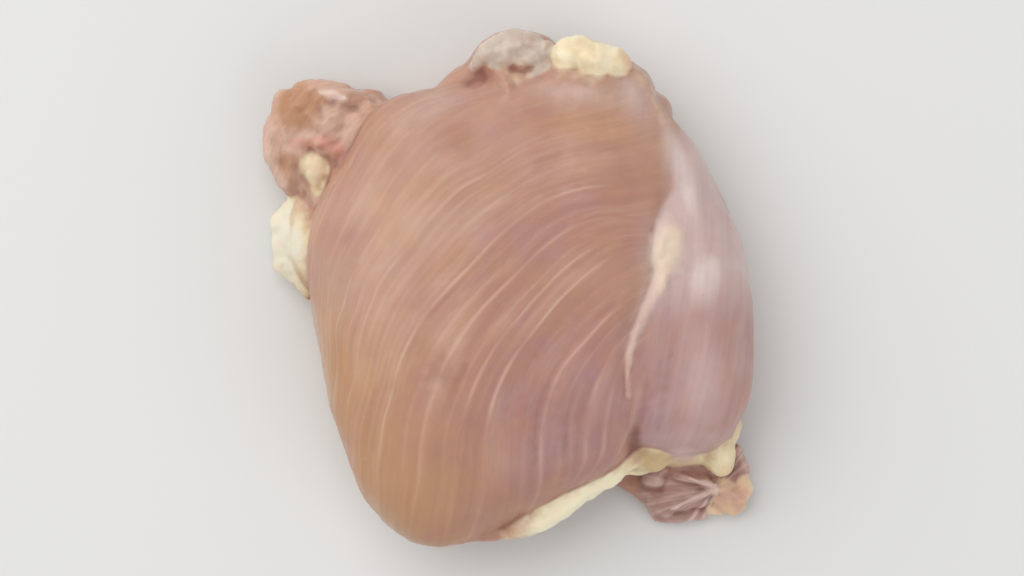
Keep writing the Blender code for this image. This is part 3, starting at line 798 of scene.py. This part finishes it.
def noise_value(tree, where, scale, detail, roughness=0.5):
    """The value of plain noise at this scale."""
    return put(tree, "ShaderNodeTexNoise", {
        "Vector": where, "Scale": scale, "Detail": detail, "Roughness": roughness,
    }).outputs["Fac"]


# Moisture: the share of the surface that is wet, in soft blotches, as roughness and as a clear coat
BLOTCH_SCALE = 130.0
DRY_COAT = 0.10
WET_COAT = 0.42
moisture, moisture_in, moisture_out = group_nodes(
    "moisture",
    (("Vector", "NodeSocketVector"), ("Dull", "NodeSocketFloat"), ("Wet", "NodeSocketFloat")),
    (("Roughness", "NodeSocketFloat"), ("Coat", "NodeSocketFloat")),
)
blotches = noise_value(moisture, moisture_in.outputs["Vector"], BLOTCH_SCALE, 3.0, 0.55)
wetness = spread(moisture, blotches, 0.36, 0.64)
moist_roughness = spread(
    moisture, wetness, to_low=moisture_in.outputs["Dull"], to_high=moisture_in.outputs["Wet"]
)
moist_coat = spread(moisture, wetness, to_low=DRY_COAT, to_high=WET_COAT)
moisture.links.new(moist_roughness, moisture_out.inputs["Roughness"])
moisture.links.new(moist_coat, moisture_out.inputs["Coat"])

# Fibres: noise that is short across the grain and long along it
ALONG_SCALE = 48.0
fibres, fibres_in, fibres_out = group_nodes(
    "fibres",
    (("Across", "NodeSocketFloat"), ("Vector", "NodeSocketVector"), ("Fineness", "NodeSocketFloat")),
    (("Value", "NodeSocketFloat"),),
)
fibre_plan = put(fibres, "ShaderNodeSeparateXYZ", {"Vector": fibres_in.outputs["Vector"]})
fibre_place = put(fibres, "ShaderNodeCombineXYZ", {
    "X": maths(fibres, "MULTIPLY", fibres_in.outputs["Across"], fibres_in.outputs["Fineness"]),
    "Y": maths(fibres, "MULTIPLY", fibre_plan.outputs["X"], ALONG_SCALE),
    "Z": maths(fibres, "MULTIPLY", fibre_plan.outputs["Y"], ALONG_SCALE),
})
fibre_value = noise_value(fibres, fibre_place.outputs["Vector"], 1.0, 4.0, 0.6)
fibres.links.new(fibre_value, fibres_out.inputs["Value"])

meat, tree, shader = new_material("raw_meat")
where = put(tree, "ShaderNodeTexCoord").outputs["Object"]


def marking(name):
    """The number stored under this name at each point."""
    return put(tree, "ShaderNodeAttribute", attribute_name=name).outputs["Fac"]


def fibres_of(name, fineness):
    """Fibres of this fineness along the grain that is stored under this name."""
    inputs = {"Across": marking(name), "Vector": where, "Fineness": fineness}
    return put(tree, "ShaderNodeGroup", inputs, node_tree=fibres).outputs["Value"]


def mixed(share, first, second):
    """A number between two others, by one Mix node on its number sockets."""
    made = put(tree, "ShaderNodeMix", {0: share, 2: first, 3: second}, data_type="FLOAT")
    return made.outputs[0]


def blended(share, first, second, mode="MIX"):
    """A colour between two others, by one Mix node on its colour sockets."""
    settings = {"data_type": "RGBA", "blend_type": mode}
    return put(tree, "ShaderNodeMix", {0: share, 6: first, 7: second}, **settings).outputs[2]


def shaded(colour, shade):
    """A colour made darker or lighter by a number about 1."""
    grey = put(tree, "ShaderNodeCombineXYZ", {"X": shade, "Y": shade, "Z": shade})
    return blended(1.0, colour, grey.outputs["Vector"], "MULTIPLY")


def layered(colour, layers):
    """A colour under others, each laid on up to a share as a value goes from low to high."""
    for value, low, high, other, most in layers:
        colour = blended(spread(tree, value, low, high, 0.0, most), colour, other)
    return colour


def mottled(name, amount, scale, detail=4.0, roughness=0.5):
    """The marking of this name, with this much noise of this scale about it."""
    centred = maths(tree, "SUBTRACT", noise_value(tree, where, scale, detail, roughness), 0.5)
    return maths(tree, "ADD", marking(name), maths(tree, "MULTIPLY", centred, amount))


def highest(first, *others):
    """The highest of several numbers."""
    for other in others:
        first = maths(tree, "MAXIMUM", first, other)
    return first


def summed(first, *others):
    """The sum of several numbers."""
    for other in others:
        first = maths(tree, "ADD", first, other)
    return first


def times(first, *others):
    """Several numbers multiplied together."""
    for other in others:
        first = maths(tree, "MULTIPLY", first, other)
    return first


# The pale lines are read off colour ramps across the grain. The ramps start at this place and span
# this far, and a ramp has room for the three stops of each of this many lines.
RAMP_START = -12.0
RAMP_SPAN = 64.0
LINES_PER_RAMP = 8
BLACK = (0.0, 0.0, 0.0, 1.0)


def line_ramp(lines):
    """The strength of these pale lines, read off one ramp across the grain."""
    past_start = maths(tree, "SUBTRACT", marking("across_main"), RAMP_START)
    along_ramp = maths(tree, "DIVIDE", past_start, RAMP_SPAN)
    made = put(tree, "ShaderNodeValToRGB", {"Fac": along_ramp})
    stops = made.color_ramp.elements
    stops[1].color = BLACK
    for middle, strength in lines:
        for shift, value in ((-1, 0.0), (0, strength), (1, 0.0)):
            stop = stops.new((middle + shift * GRAIN_LINE_HALF_WIDTH - RAMP_START) / RAMP_SPAN)
            stop.color = (value, value, value, 1)
    return made.outputs["Color"]


line_starts = range(0, len(GRAIN_LINES), LINES_PER_RAMP)
all_lines = summed(
    *(line_ramp(GRAIN_LINES[start : start + LINES_PER_RAMP]) for start in line_starts)
)
fade = spread(tree, noise_value(tree, where, 75.0, 1.0), 0.34, 0.56)
shown_lines = times(all_lines, fade, marking("lined"))
fine_flap = fibres_of("across_flap", 1.2)
grain = mixed(marking("outer"), fibres_of("across_main", 1.5), fibres_of("across_outer", 1.3))
grain = mixed(marking("flap"), grain, fine_flap)
streaks = fibres_of("across_outer", 0.7)
bundles = mixed(marking("outer"), fibres_of("across_main", 0.62), streaks)
bundles = mixed(marking("flap"), bundles, fine_flap)

# The flesh of the muscles: mottled tan, rose and mauve, shaded along its fibres and bundles, with
# broad pale streaks, then the pale lines, and silverskin over it all
TAN = srgb(188, 144, 110)
ROSE = srgb(180, 133, 119)
MAUVE = srgb(172, 131, 134)
PALE = srgb(214, 178, 154)
GRAIN_PALE = srgb(226, 192, 172)
GRAIN_LINE_SHARE = 0.55
SILVER = srgb(226, 208, 204)
tone_here = mottled("tone", 0.95, 160.0, roughness=0.6)
flesh = layered(TAN, (
    (tone_here, 0.0, 0.6, ROSE, 1.0), (tone_here, 0.55, 1.1, MAUVE, 1.0),
    (mottled("lightness", 0.8, 90.0, 3.0), 0.45, 1.0, PALE, 0.6),
))
grain_shade = spread(tree, grain, 0.3, 0.7, 0.965, 1.035)
bundle_shade = spread(tree, bundles, 0.3, 0.7, 0.94, 1.05)
flesh = shaded(flesh, times(grain_shade, bundle_shade))
broad = spread(tree, fibres_of("across_main", 0.27), 0.47, 0.66, 0.0, 0.28)
flesh = blended(times(broad, marking("lined")), flesh, PALE)
flesh = blended(times(shown_lines, GRAIN_LINE_SHARE), flesh, GRAIN_PALE)
cloudy = noise_value(tree, where, 190.0, 4.0, 0.6)
silver_strength = summed(
    spread(tree, streaks, 0.34, 0.66, 0.34, 0.52), spread(tree, cloudy, 0.34, 0.66, 0.35, 0.60)
)
silver_share = maths(tree, "MULTIPLY", marking("silverskin"), silver_strength, clamped=True)
flesh = blended(silver_share, flesh, SILVER)

# The torn end: brown to peach and salmon, with a painted highlight on its crests, and streaked
TORN_BROWN = srgb(182, 134, 100)
SALMON = srgb(204, 146, 126)
PEACH = srgb(206, 168, 148)
TORN_PALE = srgb(231, 207, 195)
torn_tone_here = mottled("tone", 0.9, 230.0)
torn_colour = layered(TORN_BROWN, (
    (torn_tone_here, 0.0, 0.4, PEACH, 1.0), (torn_tone_here, 0.55, 0.95, SALMON, 1.0),
    (mottled("lightness", 0.7, 190.0, 3.0), 0.55, 1.1, TORN_PALE, 0.8),
    (marking("shade_and_crest_light"), -0.2, -1.0, TORN_PALE, 0.24),
))
torn_colour = shaded(torn_colour, spread(tree, fibres_of("across_torn", 0.8), 0.3, 0.7, 0.87, 1.10))

# The scraps: mauve with red blotches, pale along their fan of fibres and sinews, and with a painted
# highlight on their crests
SCRAP_MAUVE = srgb(168, 132, 124)
SCRAP_RED = srgb(166, 108, 96)
SCRAP_PALE = srgb(228, 202, 192)
scrap_colour = layered(SCRAP_MAUVE, (
    (noise_value(tree, where, 150.0, 3.0), 0.46, 0.62, SCRAP_RED, 0.7),
    (fibres_of("across_fan", 0.9), 0.46, 0.66, SCRAP_PALE, 0.65),
    (marking("shade_and_crest_light"), -0.2, -1.0, SCRAP_PALE, 0.5), (marking("sinews"), 0.3, 1.0, SCRAP_PALE, 0.7),
))

# The fat: dull, yellow or white by its lightness, and peach or clear by its tone
FAT_DULL = srgb(206, 180, 138)
FAT_YELLOW = srgb(230, 212, 174)
FAT_WHITE = srgb(248, 236, 204)
FAT_PEACH = srgb(224, 182, 152)
FAT_CLEAR = srgb(232, 226, 208)
fat_light_here = mottled("lightness", 1.0, 260.0)
fat_tone_here = mottled("tone", 0.9, 180.0)
fat_colour = layered(FAT_DULL, (
    (fat_light_here, 0.1, 0.42, FAT_YELLOW, 1.0), (fat_light_here, 0.45, 0.75, FAT_WHITE, 1.0),
    (fat_tone_here, 0.42, 1.0, FAT_PEACH, 0.9), (fat_tone_here, 0.0, -0.5, FAT_CLEAR, 0.85),
))

# The film: grey, whiter in patches and with a painted highlight on its crests, and a little cream
FILM_GREY = srgb(189, 176, 163)
FILM_WHITE = srgb(214, 202, 189)
FILM_CREAM = srgb(214, 192, 164)
film_colour = layered(FILM_GREY, (
    (noise_value(tree, where, 240.0, 3.0), 0.38, 0.68, FILM_WHITE, 1.0),
    (marking("shade_and_crest_light"), -0.2, -0.9, FILM_WHITE, 0.6),
    (noise_value(tree, where, 170.0, 2.0), 0.50, 0.66, FILM_CREAM, 0.6),
))

# The fat in the groove: a cream bead, and pink along the thin line below it
SEAM_PINK = srgb(218, 188, 176)
SEAM_CREAM = srgb(226, 206, 184)
seam_colour = layered(SEAM_PINK, ((marking("bead"), 0.1, 0.5, SEAM_CREAM, 1.0),))

# These tissues are laid on in turn, and painted shade darkens the hollows last, with a lighter painted
# shade on fat
DEEP_SHADE = srgb(122, 64, 50)
FAT_SHADE = srgb(190, 142, 108)
fat_share = spread(tree, mottled("fat", 0.9, 340.0), 0.28, 0.90)
film_share = spread(tree, mottled("film", 0.9, 340.0), 0.30, 1.0, 0.0, 0.88)
flesh = layered(flesh, (
    (marking("torn"), 0.0, 1.0, torn_colour, 0.95), (marking("scraps"), 0.0, 1.0, scrap_colour, 0.9),
))
flesh = blended(fat_share, flesh, fat_colour)
flesh = blended(film_share, flesh, film_colour)
flesh = layered(flesh, ((mottled("seam", 0.8, 420.0, 3.0), 0.15, 0.85, seam_colour, 0.9),))
pale_share = highest(fat_share, film_share)
darkest = mixed(marking("torn"), mixed(pale_share, 0.7, 0.45), 0.42)
painted_shade_colour = blended(pale_share, DEEP_SHADE, FAT_SHADE)
flesh = layered(flesh, ((marking("shade_and_crest_light"), 0.2, 1.0, painted_shade_colour, darkest),))
tree.links.new(flesh, shader.inputs["Base Color"])

# Its sheen: rough where it is dull and smooth where it is wet, with more of the coat on silverskin
DULL_ROUGHNESS = 0.50
WET_ROUGHNESS = 0.31
SILVERSKIN_COAT = 0.12
wet_inputs = {"Vector": where, "Dull": DULL_ROUGHNESS, "Wet": WET_ROUGHNESS}
wet = put(tree, "ShaderNodeGroup", wet_inputs, node_tree=moisture)
coat = summed(wet.outputs["Coat"], times(silver_share, SILVERSKIN_COAT))
tree.links.new(wet.outputs["Roughness"], shader.inputs["Roughness"])
tree.links.new(coat, shader.inputs["Coat Weight"])
for socket, value in (
    ("Coat Roughness", 0.13), ("Specular IOR Level", 0.25), ("Subsurface Weight", 0.35),
    ("Subsurface Radius", (1.0, 0.42, 0.28)), ("Subsurface Scale", 0.0022),
):
    shader.inputs[socket].default_value = value

# The finest relief: fibres and lines on the flesh, a fine grain, and roughness on what hangs loose
BUMP_STRENGTH = 0.55
BUMP_DISTANCE = 0.00022
bare = maths(tree, "SUBTRACT", 1.0, fat_share, clamped=True)
ragged = highest(marking("torn"), marking("scraps"), marking("film"), times(fat_share, 0.6))
height = summed(
    times(grain, bare, 0.5), times(shown_lines, 0.35),
    times(noise_value(tree, where, 900.0, 4.0), 0.35),
    times(noise_value(tree, where, 420.0, 5.0, 0.6), ragged, 1.6),
)
bump_inputs = {"Height": height, "Strength": BUMP_STRENGTH, "Distance": BUMP_DISTANCE}
bump = put(tree, "ShaderNodeBump", bump_inputs)
tree.links.new(bump.outputs["Normal"], shader.inputs["Normal"])
meat_mesh.materials.append(meat)
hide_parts("chicken_thigh")
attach(thigh_meat, "root")
